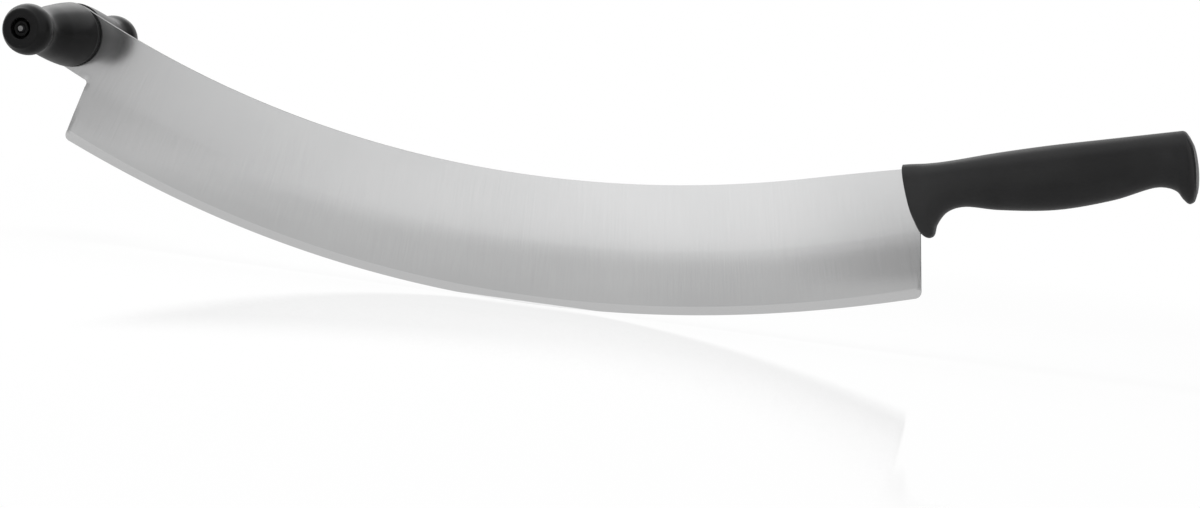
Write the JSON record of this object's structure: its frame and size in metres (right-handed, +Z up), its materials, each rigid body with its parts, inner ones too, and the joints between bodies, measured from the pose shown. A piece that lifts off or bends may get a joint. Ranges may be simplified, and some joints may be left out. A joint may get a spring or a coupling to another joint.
{
  "type": "two-handled cheese knife",
  "caption": "Cheese knife with a long arched blade, a moulded handle with guard and hook at one end, and a cross handle of freely turning round grips at the other.",
  "frame": {"origin": "on the surface under the knife, at the middle of its length, with the lowest point of the cutting edge at height 0", "axes": "+X along the knife from the cross handle to the main handle, +Y across the blade along the cross handle, +Z up from the cutting edge to the spine"},
  "size_m": [0.5732, 0.1112, 0.1179],
  "materials": {
    "blade_steel": "satin stainless steel",
    "handle_plastic": "fine matt black moulding",
    "grip_plastic": "smooth satin black moulding",
    "washer_plastic": "black nylon",
    "plain_steel": "bright stainless steel",
    "dark_steel": "blackened steel"
  },
  "bodies": {
    "knife": {"blade": "blade_steel", "main_handle": "handle_plastic", "near_thrust_washer": "washer_plastic", "far_thrust_washer": "washer_plastic", "near_sleeve": "plain_steel", "far_sleeve": "plain_steel", "tie_rod": "plain_steel", "near_end_washer": "dark_steel", "far_end_washer": "dark_steel", "near_nut": "dark_steel", "far_nut": "dark_steel"},
    "near_grip": {"near_grip": "grip_plastic"},
    "far_grip": {"far_grip": "grip_plastic"}
  },
  "joints": [
    {"name": "near_grip_turn", "type": "hinge", "parent": "knife", "child": "near_grip", "pos_m": [-0.27064, -0.0275, 0.10191], "axis": [0, 1, 0], "continuous": true},
    {"name": "far_grip_turn", "type": "hinge", "parent": "knife", "child": "far_grip", "pos_m": [-0.27064, 0.0275, 0.10191], "axis": [0, 1, 0], "continuous": true}
  ]
}
